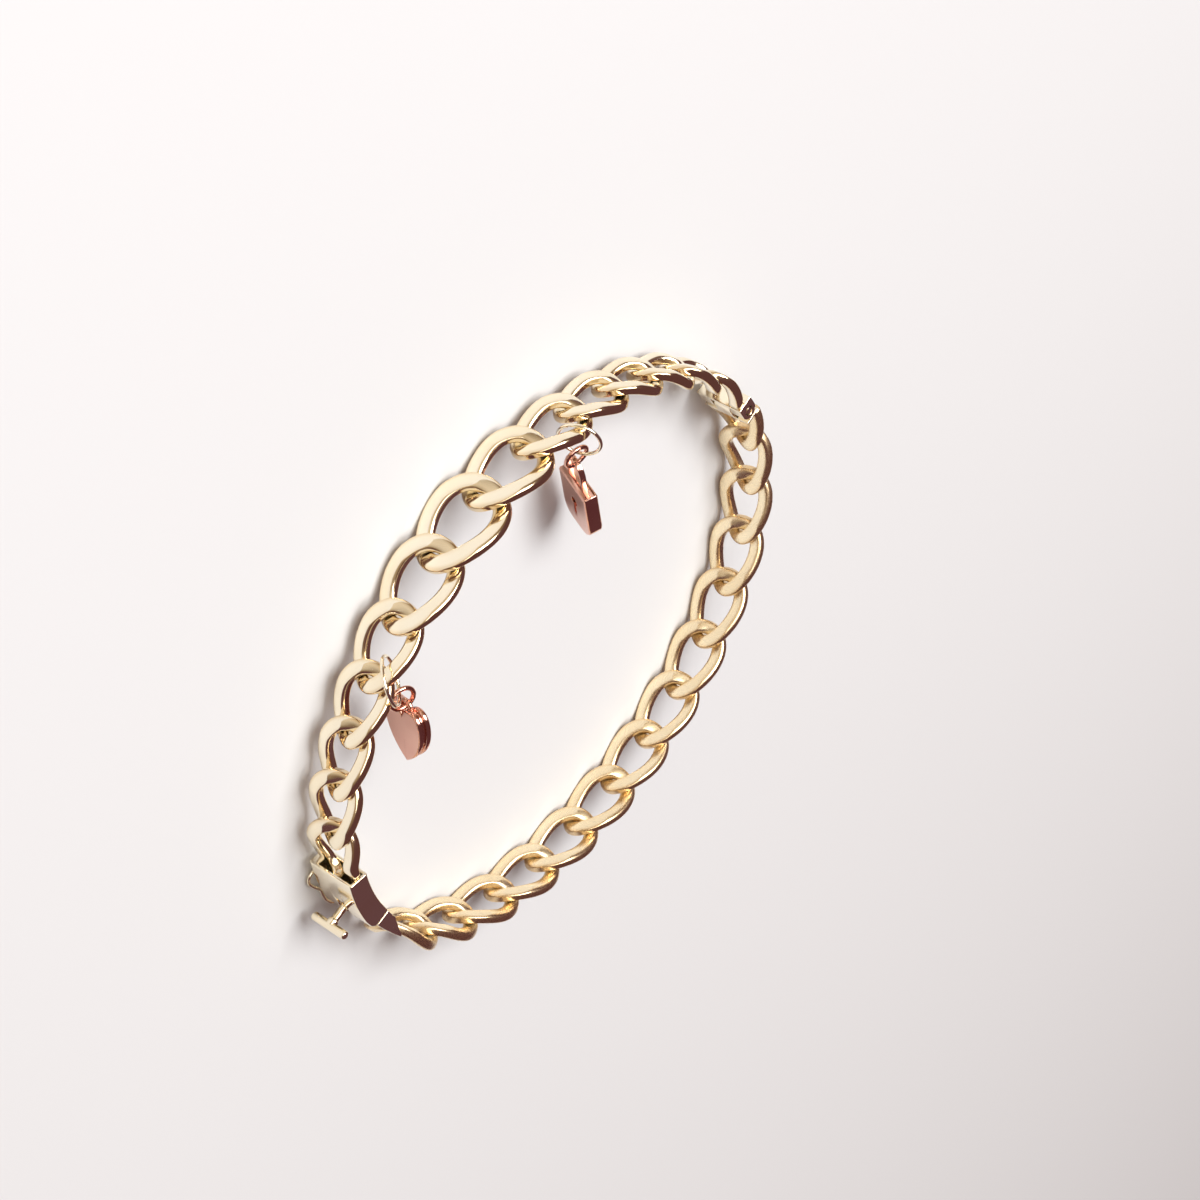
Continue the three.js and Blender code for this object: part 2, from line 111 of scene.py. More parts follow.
# Camera
view = {
    "place": (0.058796, -0.204495, 0.137863),
    "turn": (-36.8665, -48.6985, 152.9867),  # degrees about X, Y and Z
    "lens": 81.7,
}
cameraData = bpy.data.cameras.new("camera")
cameraData.lens = view["lens"]
cameraData.sensor_width = 36
cameraData.clip_start = 0.01
camera = bpy.data.objects.new("camera", cameraData)
bpy.context.scene.collection.objects.link(camera)
camera.location = view["place"]
camera.rotation_euler = [math.radians(degrees) for degrees in view["turn"]]
bpy.context.scene.camera = camera
bpy.context.scene.view_settings.view_transform = "Standard"
print("camera set")


# Shapes: each is a grid of points, rows by columns, whose columns close on themselves. A ring's
# rows do too, and any other grid is capped at both ends.

# Superellipse |x/a|^p + |y/b|^p = 1 by angle, with its flats raised by dome * (1 - x^2).
def section(width, height, power, count, dome=0.0):
    angle = np.linspace(0, 2 * math.pi, count, endpoint=False) + math.pi / count
    reach = (np.abs(np.cos(angle)) ** power + np.abs(np.sin(angle)) ** power) ** (-1 / power)
    x, y = reach * np.cos(angle), reach * np.sin(angle)
    return x * width / 2, y * (height / 2 + dome * (1 - x**2))


# A polygon with its corners turned to arcs of the given radii and its edges split into short
# steps. An arc's middle lies r / sin(half the corner's angle) inwards along its bisector, and
# the arc is (sin((1 - t) swing) start + sin(t swing) end) / sin(swing) about that middle.
def roundedOutline(corners, radii, step=0.3):
    corners = np.array(corners, float)
    radii = np.broadcast_to(radii, len(corners))[:, None]
    back, on = np.roll(corners, 1, 0) - corners, np.roll(corners, -1, 0) - corners
    back /= np.linalg.norm(back, axis=1, keepdims=True)
    on /= np.linalg.norm(on, axis=1, keepdims=True)
    half = np.arccos(np.clip((back * on).sum(1, keepdims=True), -0.99999, 0.99999)) / 2
    inwards = (back + on) / np.linalg.norm(back + on, axis=1, keepdims=True)
    middle = corners + inwards * radii / np.sin(half)
    start = corners + back * radii / np.tan(half) - middle
    end = corners + on * radii / np.tan(half) - middle
    swing = math.pi - 2 * half[:, None]
    share = np.linspace(0, 1, 7)[None, :, None]
    arcs = np.sin((1 - share) * swing) * start[:, None] + np.sin(share * swing) * end[:, None]
    points = (middle[:, None] + arcs / np.sin(swing)).reshape(-1, 2)
    edges = np.linalg.norm(np.roll(points, -1, 0) - points, axis=1)
    lengths = np.concatenate([[0], np.cumsum(edges)])
    marks = np.concatenate([[0], np.cumsum(np.maximum(1, np.ceil(edges / step).astype(int)))])
    at = np.interp(np.arange(marks[-1]), marks, lengths)
    closed = np.concatenate([points, points[:1]])
    return np.stack([np.interp(at, lengths, column) for column in closed.T], -1)


# Corners of a rectangle, in the order that roundedOutline takes them.
def rectangle(left, right, low, high):
    return [(left, low), (right, low), (right, high), (left, high)]


# Outline moved inwards by d along the mean of its two edges' normals.
def inset(outline, d):
    edge = np.roll(outline, -1, 0) - outline
    x, y = outline.T
    facing = np.sign((x * np.roll(y, -1) - y * np.roll(x, -1)).sum())
    normal = np.stack([-edge[:, 1], edge[:, 0]], -1) * facing
    normal /= np.linalg.norm(normal, axis=1, keepdims=True) + 1e-12
    corner = normal + np.roll(normal, 1, 0)
    corner /= (corner**2).sum(1, keepdims=True) / 2 + 1e-9
    return outline + d * corner


# Quarter round: inset = rim (1 - sin a), height = rim (1 - cos a).
def quarter(rim, steps=6):
    angle = np.linspace(0, math.pi / 2, steps)
    return rim * (1 - np.sin(angle)), rim * (1 - np.cos(angle))


# Outline carried up from low to high. Its two rims are rounded, and a hair's line is sunk
# beside each.
def prism(outline, low, high, rim, rows=1, line=0.03):
    insets, heights = quarter(rim)
    insets, heights = np.append(insets, line), np.append(heights, rim)
    between = np.linspace(low + rim, high - rim, rows + 1)[1:-1]
    levels = np.concatenate([low + heights, between, (high - heights)[::-1]])
    insets = np.concatenate([insets, 0 * between, insets[::-1]])
    return np.stack([
        np.concatenate([inset(outline, d), np.full((len(outline), 1), level)], 1)
        for d, level in zip(insets, levels)
    ])


# Wall between an outline given as reach by angle and a round hole, from low to high, with
# rounded rims: radius = reach - inset outside and hole + inset inside. It is a ring.
def collar(reach, hole, low, high, rim, count=96):
    angle = np.linspace(0, 2 * math.pi, count, endpoint=False)
    insets, heights = quarter(rim, 5)
    levels = np.concatenate([low + heights, (high - heights)[::-1]])
    insets = np.concatenate([insets, insets[::-1]])[:, None]
    outer = reach(angle)[None] - insets
    inner = hole + insets[::-1] + 0 * angle
    radius = np.concatenate([outer, inner])
    levels = np.concatenate([levels, levels[::-1]])[:, None] + 0 * angle
    return np.stack([radius * np.cos(angle), radius * np.sin(angle), levels], -1)


# Profile turned about Z: (radius cos a, radius sin a, height).
def turned(profile, count=48):
    radius, height = np.array(profile, float).T[:, :, None]
    angle = np.linspace(0, 2 * math.pi, count, endpoint=False)[None]
    return np.stack([radius * np.cos(angle), radius * np.sin(angle), height + 0 * angle], -1)


solderSeam = {"depth": 0.03, "halfLength": 0.05}


# Torus in XY: ((R + r cos v) cos u, (R + r cos v) sin u, r sin v). A soldered seam at u = seam
# sinks the wire: r = wire - depth exp(-(away / halfLength)^2).
def wireRing(radius, wire, seam=None, steps=144, sides=28):
    u = np.linspace(0, 2 * math.pi, steps, endpoint=False)[:, None]
    v = np.linspace(0, 2 * math.pi, sides, endpoint=False)[None]
    thick = wire + 0 * u
    if seam is not None:
        away = np.angle(np.exp(1j * (u - seam))) * radius
        thick = wire - solderSeam["depth"] * np.exp(-((away / solderSeam["halfLength"]) ** 2))
    reach = radius + thick * np.cos(v)
    return np.stack([reach * np.cos(u), reach * np.sin(u), thick * np.sin(v) + 0 * u], -1)


# Section (x, y) carried along a path of points: path + x * side + y * (side x forward).
def carried(path, forward, side, x, y):
    forward = forward / np.linalg.norm(forward, axis=1, keepdims=True)
    side = side - (side * forward).sum(1, keepdims=True) * forward
    side /= np.linalg.norm(side, axis=1, keepdims=True)
    upper = np.cross(side, forward)
    return path[:, None] + x[..., None] * side[:, None] + y[..., None] * upper[:, None]


# Faces between neighbouring rows: (i, j), (i + 1, j), (i + 1, j + 1), (i, j + 1).
def facesOf(rows, columns, offset, ring):
    i = np.arange(rows if ring else rows - 1)
    i, j = np.meshgrid(i, np.arange(columns), indexing="ij")
    below, beside = (i + 1) % rows, (j + 1) % columns
    corners = [i * columns + j, below * columns + j, below * columns + beside, i * columns + beside]
    return np.stack(corners, -1).reshape(-1, 4) + offset


# Fan of triangles from a centre to each pair of neighbours on one row.
def capOf(row, columns, centre, offset):
    j = np.arange(columns)
    edge = offset + row * columns + j
    beside = offset + row * columns + (j + 1) % columns
    return np.stack([np.full(columns, centre), beside, edge], -1)


# Sum over each face's fan triangles of a . (b x c) / 6.
def signedVolume(points, faces):
    total = 0.0
    for k in range(1, faces.shape[1] - 1):
        a, b, c = points[faces[:, 0]], points[faces[:, k]], points[faces[:, k + 1]]
        total += np.einsum("ij,ij->", a, np.cross(b, c)) / 6
    return total


# Lengths for marks that follow the shape: x along the grid, or x and y round a circle as long
# as it is when it is a ring, and round each row in y and z.
def grainOf(grid, ring):
    rows, columns = grid.shape[:2]
    run = np.concatenate([[0], np.cumsum(np.linalg.norm(np.diff(grid.mean(1), axis=0), axis=1))])
    run = np.repeat(run, columns)
    side = 0 * run
    if ring:
        reach = run.max() / (2 * math.pi)
        run, side = reach * np.cos(run / reach), reach * np.sin(run / reach)
    turn = 2 * math.pi * np.tile(np.arange(columns) / columns, rows)
    girth = np.linalg.norm(np.diff(grid, axis=1), axis=2).sum(1).max() / (2 * math.pi)
    return np.stack([run, side + girth * np.cos(turn), girth * np.sin(turn)], -1)


# One object from grids in metres, each given with whether it is a ring. Its faces are turned
# outwards by the sign of each grid's volume. "edge" says how strongly painted shade darkens the metal
# at each point.
def makePiece(name, grids, material, body, node, sharpAbove=40, edge=None):
    points, quads, caps, grains = [], [], [], []
    offset = 0
    for grid, ring in grids:
        rows, columns = grid.shape[:2]
        flat, grain = grid.reshape(-1, 3), grainOf(grid, ring)
        myQuads = facesOf(rows, columns, offset, ring)
        myCaps = np.zeros((0, 3), int)
        if not ring:
            flat = np.concatenate([flat, grid[[0, -1]].mean(1)])
            grain = np.concatenate([grain, grain[:1], grain[-1:]])
            first = offset + rows * columns
            myCaps = np.concatenate([
                capOf(0, columns, first, offset),
                capOf(rows - 1, columns, first + 1, offset)[:, ::-1],
            ])
        if signedVolume(flat, myQuads - offset) + signedVolume(flat, myCaps - offset) < 0:
            myQuads, myCaps = myQuads[:, ::-1], myCaps[:, ::-1]
        points.append(flat)
        quads.append(myQuads)
        caps.append(myCaps)
        grains.append(grain)
        offset += len(flat)
    mesh = bpy.data.meshes.new(name)
    faces = np.concatenate(quads).tolist() + np.concatenate(caps).tolist()
    mesh.from_pydata(np.concatenate(points).tolist(), [], faces)
    grainMap = mesh.attributes.new("grain", "FLOAT_VECTOR", "POINT")
    grainMap.data.foreach_set("vector", np.concatenate(grains).astype(np.float32).ravel())
    if edge is not None:
        paintedShadeMap = mesh.attributes.new("edge", "FLOAT", "POINT")
        paintedShadeMap.data.foreach_set("value", edge.astype(np.float32))
    mesh.polygons.foreach_set("use_smooth", np.ones(len(mesh.polygons), bool))
    mesh.materials.append(material)
    piece = bpy.data.objects.new(name, mesh)
    bpy.context.scene.collection.objects.link(piece)
    if sharpAbove:
        mesh.set_sharp_from_angle(angle=math.radians(sharpAbove))
    mesh.update()
    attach(piece, body)
    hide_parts(node)
    return piece


# Metals

# A shader node with values for its sockets or, where it has no such socket, its settings.
def addNode(tree, kind, **inputs):
    node = tree.nodes.new(kind)
    for key, value in inputs.items():
        if key in node.inputs:
            node.inputs[key].default_value = value
        else:
            setattr(node, key, value)
    return node


# Metal with a slow change of tone, marks rubbed along the shape and a faintly uneven polish.
# With a painted shade colour, the colour darkens to it as the piece's own "edge" goes from 0 to 1.
def makeMetal(name, finish):
    material = bpy.data.materials.new(name)
    material.use_nodes = True
    tree = material.node_tree
    shader = tree.nodes["Principled BSDF"]
    shader.inputs["Metallic"].default_value = 1.0
    link = tree.links.new
    place = addNode(tree, "ShaderNodeTexCoord")
    grain = addNode(tree, "ShaderNodeAttribute", attribute_name="grain")

    tone = addNode(tree, "ShaderNodeTexNoise", Scale=finish["toneScale"], Detail=3.0)
    link(place.outputs["Object"], tone.inputs["Vector"])
    toneRamp = addNode(tree, "ShaderNodeValToRGB")
    for stop, colour, at in zip(toneRamp.color_ramp.elements, finish["colours"], (0.35, 0.65)):
        stop.color = (*colour, 1)
        stop.position = at
    link(tone.outputs["Fac"], toneRamp.inputs["Fac"])
    baseColour = toneRamp.outputs["Color"]
    if "paintedShadeColour" in finish:
        # Painted shade: the base colour is mixed towards the shade colour by the piece's "edge"
        # value.
        edge = addNode(tree, "ShaderNodeAttribute", attribute_name="edge")
        paintedEdgeShade = addNode(tree, "ShaderNodeMix", data_type="RGBA")
        paintedEdgeShade.inputs[7].default_value = (*finish["paintedShadeColour"], 1)   # its second colour
        link(edge.outputs["Fac"], paintedEdgeShade.inputs[0])
        link(baseColour, paintedEdgeShade.inputs[6])
        baseColour = paintedEdgeShade.outputs[2]
    link(baseColour, shader.inputs["Base Color"])

    stretch = addNode(tree, "ShaderNodeMapping")
    across = finish["acrossScale"]
    stretch.inputs["Scale"].default_value = (finish["alongScale"], across, across)
    link(grain.outputs["Vector"], stretch.inputs["Vector"])
    rubbed = addNode(tree, "ShaderNodeTexNoise", Scale=1.0, Detail=4.0, Roughness=0.65)
    link(stretch.outputs["Vector"], rubbed.inputs["Vector"])
    low, high = finish["roughness"]
    roughRange = addNode(tree, "ShaderNodeMapRange",
                         **{"From Min": 0.3, "From Max": 0.7, "To Min": low, "To Max": high})
    link(rubbed.outputs["Fac"], roughRange.inputs["Value"])
    link(roughRange.outputs["Result"], shader.inputs["Roughness"])

    waves = addNode(tree, "ShaderNodeTexNoise", Scale=finish["waveScale"], Detail=1.5)
    link(place.outputs["Object"], waves.inputs["Vector"])
    waveBump = addNode(tree, "ShaderNodeBump", Strength=1.0, Distance=finish["waveHeight"])
    link(waves.outputs["Fac"], waveBump.inputs["Height"])
    rubBump = addNode(tree, "ShaderNodeBump", Strength=1.0, Distance=finish["rubHeight"])
    link(rubbed.outputs["Fac"], rubBump.inputs["Height"])
    link(waveBump.outputs["Normal"], rubBump.inputs["Normal"])
    link(rubBump.outputs["Normal"], shader.inputs["Normal"])
    return material


polishedGold = makeMetal("polished_yellow_gold", {
    "colours": [(0.97, 0.86, 0.64), (0.99, 0.91, 0.73)],
    # painted shade colour that the links darken to at their edges
    "paintedShadeColour": (0.82, 0.63, 0.38),
    "toneScale": 160.0,
    "roughness": (0.09, 0.16),
    "alongScale": 500.0,
    "acrossScale": 9000.0,
    "rubHeight": 0.0000008,
    "waveScale": 420.0,
    "waveHeight": 0.000012,
})
satinGold = makeMetal("satin_yellow_gold", {
    "colours": [(0.95, 0.79, 0.52), (0.99, 0.86, 0.61)],
    # painted shade colour that the links darken to at their edges
    "paintedShadeColour": (0.78, 0.56, 0.31),
    "toneScale": 160.0,
    "roughness": (0.22, 0.36),
    "alongScale": 700.0,
    "acrossScale": 11000.0,
    "rubHeight": 0.000003,
    "waveScale": 500.0,
    "waveHeight": 0.000014,
})
roseGold = makeMetal("polished_rose_gold", {
    "colours": [(0.75, 0.41, 0.32), (0.84, 0.50, 0.39)],
    "toneScale": 200.0,
    "roughness": (0.10, 0.17),
    "alongScale": 500.0,
    "acrossScale": 9000.0,
    "rubHeight": 0.0000008,
    "waveScale": 400.0,
    "waveHeight": 0.000008,
})
print("metals made")


# Curb links

links = {
    "steps": 168,
    "sides": 44,
    "strip": (0.62, 0.13),  # the strip's width is the first plus the second times the link's width
    "lift": (0.33, 0.21),   # and so is the twist out of the band, from the strip's width
    "thickness": 0.94,
    "power": 3.6,           # how square the strip's section is
    "dome": 0.07,           # the strip's faces stand proud in the middle
    "ground": 0.93,         # what lies further out than this is ground down
    "grindKeeps": 0.4,      # to this share of its height
    # Painted shade on the links: their colour darkens from the strip's middle towards its edges, the
    # outer edge more than the inner.
    "shadeFrom": 0.35,       # where the tone begins to deepen, as a share of the strip's half width
    "shadeOver": 0.6,
    "shadeOuter": 0.85,      # how deep it gets at the outer edge
    "shadeInner": 0.45,      # and at the inner one
    "air": 0.14,            # left between neighbours where they pass each other
    "frontEndWidth": 5.5,
    "frontMidWidth": 7.9,
    "frontSpread": 1.75,
    "frontWidest": 6,       # counted from 0 at the clasp
    "frontWidestAt": 41.4,
    "frontPitch": 5.0,
    "frontPitchPerWidth": 0.76,
    "backFirstAt": -9.06,
    "backWidth": 5.9,
    "backPitch": 5.8,
    "count": 14,
}


# 0 to 1 with level ends: x^2 (3 - 2 x), for x held between 0 and 1.
def eased(x):
    x = np.clip(x, 0, 1)
    return x * x * (3 - 2 * x)


# Width of a link's strip, and how far its arms twist out of the band.
def stripOf(width):
    return links["strip"][0] + links["strip"][1] * width


def liftOf(strip):
    return links["lift"][0] + links["lift"][1] * strip


# width(i) = end + (middle - end) * exp(-((i - widest) / spread)^2), and pitch grows with it.
def frontRow():
    away = (np.arange(links["count"]) - links["frontWidest"]) / links["frontSpread"]
    end = links["frontEndWidth"]
    widths = end + (links["frontMidWidth"] - end) * np.exp(-away**2)
    mean = (widths[1:] + widths[:-1]) / 2
    pitches = links["frontPitch"] + links["frontPitchPerWidth"] * (mean - end)
    places = np.concatenate([[0], np.cumsum(pitches)])
    return places - places[links["frontWidest"]] + links["frontWidestAt"], widths


# place(i) = first - i * pitch, numbered from the clasp and so against the oval's direction.
def backRow():
    places = around + links["backFirstAt"] - np.arange(links["count"]) * links["backPitch"]
    return places, np.full(links["count"], links["backWidth"])


# reach = (pitch + mean strip + air) / 2 towards each neighbour.
def reachesOf(places, widths):
    strips = stripOf(widths)
    reach = (np.abs(np.diff(places)) + (strips[1:] + strips[:-1]) / 2 + links["air"]) / 2
    return np.concatenate([reach[:1], reach]), np.concatenate([reach, reach[-1:]])


# The strip's section: a superellipse with raised faces.
def stripSection(strip):
    return section(strip, links["thickness"], links["power"], links["sides"], links["dome"])


# Ring: along = reach cos t, out = lift sin 2t, up = -across sin t. A square-edged strip is
# carried round it with its broad faces in and out, then both faces are ground flat.
def linkSurface(place, width, before, after):
    strip = stripOf(width)
    across, lift = (width - strip) / 2, liftOf(strip)
    turn = np.linspace(0, 2 * math.pi, links["steps"], endpoint=False)[:, None]
    cosine, sine, zero = np.cos(turn), np.sin(turn), 0 * turn
    reach = np.where(cosine > 0, after, before)
    centre = np.concatenate([reach * cosine, lift * np.sin(2 * turn), -across * sine], 1)
    forward = np.concatenate([-reach * sine, 2 * lift * np.cos(2 * turn), -across * cosine], 1)
    outer = np.concatenate([across * cosine, zero, -reach * sine], 1)
    x, y = stripSection(strip)
    local = carried(centre, forward, outer, x[None], y[None])
    out = local[..., 1]
    over = np.maximum(np.abs(out) - links["ground"], 0)
    local[..., 1] = out - np.sign(out) * (1 - links["grindKeeps"]) * over
    local[..., 0] += place
    return local


# How strongly painted shade darkens each point: eased from the strip's middle out to its edges.
def paintedEdgeShadeOf(strip):
    x, _ = stripSection(strip)
    share = eased((np.abs(2 * x / strip) - links["shadeFrom"]) / links["shadeOver"])
    share = share * np.where(x > 0, links["shadeOuter"], links["shadeInner"])
    return np.tile(share, links["steps"])


solder = {
    "claspFrom": 4.5,     # link_front_01 runs into the clasp's mouth as far as this
    "pressFrom": 8.6,     # and its upper arm is pressed inwards from here on
    "pressOver": 2.1,
    "pressDepth": 0.75,
    "pressAbove": 1.2,
    "armTop": 2.26,       # its top inside the mouth, and the rise outside it
    "armRiseFrom": 6.6,
    "armRise": 0.9,
    "hingeAir": 1.15,     # from the hinge's pin to the link on either side
}


# An end link stops inside what it is soldered to.
def soldered(node, local):
    along, out, up = np.moveaxis(local, -1, 0)
    if node == "link_front_01":
        pressed = eased((solder["pressFrom"] - along) / solder["pressOver"])
        pressed *= np.clip(up / solder["pressAbove"], 0, 1)
        out = out - solder["pressDepth"] * pressed
        rise = solder["armRise"] * np.clip(along - solder["armRiseFrom"], 0, 1)
        up = np.minimum(up, solder["armTop"] + rise)
        along = np.maximum(along, solder["claspFrom"])
    elif node == "link_front_14":
        along = np.minimum(along, band["pinAlong"] - solder["hingeAir"])
    elif node == "link_back_14":
        along = np.maximum(along, band["pinAlong"] + solder["hingeAir"])
    return onBand(along, out, up)


frontPlaces, frontWidths = frontRow()
frontBefore, frontAfter = reachesOf(frontPlaces, frontWidths)
backPlaces, backWidths = backRow()
backAfter, backBefore = reachesOf(backPlaces, backWidths)
halves = {
    "front": (frontPlaces, frontWidths, frontBefore, frontAfter, polishedGold, "yellow_gold"),
    "back": (backPlaces, backWidths, backBefore, backAfter, satinGold, "satin_gold"),
}
for i in range(links["count"]):
    for half, (places, widths, before, after, metal, slot) in halves.items():
        node = f"link_{half}_{i + 1:02d}"
        surface = soldered(node, linkSurface(places[i], widths[i], before[i], after[i]))
        # Each link carries painted shade, darker towards its strip's edges.
        makePiece(f"{half}_curb_link_{i + 1:02d}", [(toRest(surface), True)], metal,
                  f"{half}_half", node, sharpAbove=0, edge=paintedEdgeShadeOf(stripOf(widths[i])))
print("links made")


# Box clasp

clasp = {
    "mouth": 6.55,
    "seam": -0.45,
    "half": 2.6,        # half its width
    "thick": 1.1,       # half its thickness, before it is fitted to the curves below
    "outer": ([-0.45, -0.1, 0.8, 6.55], [0.42, 0.62, 0.74, 0.9]),  # along, out
    "inner": ([-0.45, 6.55], [-1.56, -1.22]),
    "wall": 0.3,
    "corner": 0.24,
    "notchHalf": 0.575,
    "notchTo": 2.75,
    "pillow": 0.05,     # the outer face stands proud in the middle
    "endWall": 0.62,    # how much thicker the lower wall is at the mouth
    "endWallFrom": 4.5,
    "endWallOver": 0.6,
    "rim": 0.05,
    "wireLevel": -3.1,
    "lugAt": 4.35,
    "lugRadius": 0.4,
    "lugHole": 0.24,
    "lugOut": (-0.75, 0.15),
    "neckHalf": 0.3,
    "neckFrom": 0.28,   # above the wire's middle
    "neckTo": -2.5,
    "flareFrom": -2.75,
    "flareOver": 0.2,
    "flare": 0.9,
}


# A tube whose rows run from the seam, or the notch's end, to the mouth outside and back inside.
# Each row is a rectangle with round corners, fitted between the clasp's outer and inner curve:
# out = their mean + level / thick * half their distance.
def claspTube():
    half, thick, notch, corner = clasp["half"], clasp["thick"], clasp["notchHalf"], clasp["corner"]
    seam, mouth, rim, wall = clasp["seam"], clasp["mouth"], clasp["rim"], clasp["wall"]
    outline = roundedOutline(rectangle(-half, half, -thick, thick), corner, 0.12)
    top = (outline[:, 1] > thick - 0.01) & (np.abs(outline[:, 0]) < half - corner - 0.01)
    first = np.argmax(top)
    beside, flatEnd = 0.02, half - corner - 0.05   # points stand this near to the notch's edge
    topZ = np.concatenate([
        np.linspace(flatEnd, notch + beside, 15),
        np.linspace(notch - beside, beside - notch, 11),
        np.linspace(-notch - beside, -flatEnd, 15),
    ])
    topEdge = np.stack([topZ, 0 * topZ + thick], -1)
    outline = np.concatenate([outline[:first], topEdge, outline[first:][~top[first:]]])

    inwards = 0.2   # the inner outline is moved in by this, then scaled to the wall
    within = inset(outline, inwards)
    within *= ((half - wall) / (half - inwards), (thick - wall) / (thick - inwards))
    overNotch = (outline[:, 1] > thick - 0.05) & (np.abs(outline[:, 0]) < notch)
    start = np.where(overNotch, clasp["notchTo"], seam)

    steps = 64
    share = [np.linspace(0, 1, steps), np.ones(4), np.linspace(1, 0, steps), np.zeros(4)]
    share = np.concatenate(share)[:, None]
    turnOver = np.array([0.25 * rim, rim, wall - rim, wall - 0.25 * rim]) / wall
    blend = np.concatenate([np.zeros(steps), turnOver, np.ones(steps), turnOver[::-1]])[:, None]
    nearRim = np.minimum(blend, 1 - blend) * wall / rim
    keep = rim * (1 - np.clip(nearRim, 0, 1)) ** 2
    along = start + keep + (mouth - start - 2 * keep) * share
    up = outline[:, 0] * (1 - blend) + within[:, 0] * blend
    level = outline[:, 1] * (1 - blend) + within[:, 1] * blend
    high, low = np.interp(along, *clasp["outer"]), np.interp(along, *clasp["inner"])
    out = (high + low) / 2 + level / thick * (high - low) / 2
    out += (level > 0) * (1 - blend) * clasp["pillow"] * (1 - (up / half) ** 2)
    thicker = clasp["endWall"] * eased((along - clasp["endWallFrom"]) / clasp["endWallOver"]) * blend
    up = np.where(up < 0, up * (1 - thicker / (half - wall)), up)
    return onBand(along, out, up)


# The lug is a collar lying along the band, on a neck that flares to the box.
lugFrom, lugTo = clasp["lugOut"]
lug = collar(lambda angle: clasp["lugRadius"] + 0 * angle, clasp["lugHole"],
             lugFrom, lugTo, 0.06, 48)
lug = lug[..., [0, 2, 1]] + (0, 0, clasp["wireLevel"])
foot = roundedOutline(rectangle(-clasp["neckHalf"], clasp["neckHalf"], lugFrom, lugTo), 0.1, 0.1)
neck = prism(foot, clasp["wireLevel"] + clasp["neckFrom"], clasp["neckTo"], 0.03)
flaring = np.clip((neck[..., 2] - clasp["flareFrom"]) / clasp["flareOver"], 0, 1)
neck[..., 0] *= 1 + clasp["flare"] * flaring**2
makePiece("box_clasp", [
    (toRest(claspTube()), True),
    (toRest(atStation(clasp["lugAt"], lug)), True),
    (toRest(atStation(clasp["lugAt"], neck)), False),
], polishedGold, "front_half", "clasp_box")


# A flat plate: an outline in x and z, thick along y.
def plate(xz, low, high, rim):
    return prism(xz, low, high, rim)[..., [0, 2, 1]]


tongue = {
    "outline": [(-0.62, 0.15), (-3, -0.05), (-5.1, -0.1), (-5.1, -0.4), (-2.4, -1.5), (-0.62, -1.5)],
    "radii": [0.14, 0.8, 0.08, 0.08, 0.3, 0.14],
    "half": 2.6,
    "leaf": (-1.0, 3.65, -1.1, -0.84),   # from, to, low, high
    "leafHalf": 1.95,
    "nubAlong": -0.95,
    "nubOut": -0.36,
    "nubHeight": 0.24,
    "nub": [(0.05, 0), (0.15, 0.01), (0.23, 0.05), (0.27, 0.12), (0.24, 0.21), (0.31, 0.29)],
}
block = prism(roundedOutline(tongue["outline"], tongue["radii"], 0.25),
              -tongue["half"], tongue["half"], 0.12, 8)
leafFrom, leafTo, leafLow, leafHigh = tongue["leaf"]
leaf = rectangle(leafFrom, leafTo, -tongue["leafHalf"], tongue["leafHalf"])
leaf = plate(roundedOutline(leaf, [0.05, 0.4, 0.4, 0.05]), leafLow, leafHigh, 0.06)
nub = turned(tongue["nub"], 32) + (0, tongue["nubOut"], -tongue["half"] - tongue["nubHeight"])
makePiece("clasp_tongue_block", [
    (toRest(onBand(*np.moveaxis(block, -1, 0))), False),
    (toRest(atStation(0.0, leaf)), False),
    (toRest(atStation(tongue["nubAlong"], nub)), False),
], polishedGold, "back_half", "clasp_tongue")

# The tab's upper leaf runs along the box and bends down at its fold. Its post stands on the
# leaf and holds the cross bar.
tab = {
    "from": 0.3,
    "to": 4.0,
    "out": -0.27,
    "leaf": 0.26,       # how thick it is
    "half": 1.95,
    "foldTo": -0.85,
    "bend": 0.3,
    "at": 1.6,
    "post": 0.37,
    # wider than the post, and out from the leaf for its foot or from the bar for its head
    "foot": [(0.16, 0.1), (0.14, 0.16), (0.04, 0.24), (0, 0.4)],
    "head": [(0, -0.75), (0.05, -0.66), (0.13, -0.6), (0.15, -0.5), (0.15, -0.2), (0.05, 0)],
    "barOut": 2.8,
    "bar": 0.42,
    "barHalf": 2.1,
    "barEnd": 0.26,
}
turnDown = np.linspace(0, math.pi / 2, 10)
bendFrom = tab["to"] - tab["leaf"] / 2 - tab["bend"]
fold = np.stack([np.sin(turnDown), np.cos(turnDown) - 1], -1) * tab["bend"]
path = np.concatenate([
    [[tab["from"], tab["out"]], [1.5, tab["out"]], [bendFrom - 0.05, tab["out"]]],
    fold + (bendFrom, tab["out"]),
    [[bendFrom + tab["bend"], tab["foldTo"]]],
])
path = np.pad(path, ((0, 0), (0, 1)))
upward = 0 * path + (0, 0, 1)
x, y = section(2 * tab["half"], tab["leaf"], 14, 72)
springLeaf = carried(path, np.gradient(path, axis=0), upward, x[None], y[None])
foot = np.array(tab["foot"]) + (tab["post"], tab["out"])
head = np.array(tab["head"]) + (tab["post"], tab["barOut"])
post = turned(np.concatenate([foot, head]), 48)[..., [0, 2, 1]] + (tab["at"], 0, 0)
end = np.linspace(0, math.pi / 2, 9)[1:]
barEnd = np.stack([tab["bar"] * np.sin(end), tab["barEnd"] * (np.cos(end) - 1) + tab["barHalf"]], -1)
bar = turned(np.concatenate([barEnd * (1, -1), barEnd[::-1]]), 48) + (tab["at"], tab["barOut"], 0)
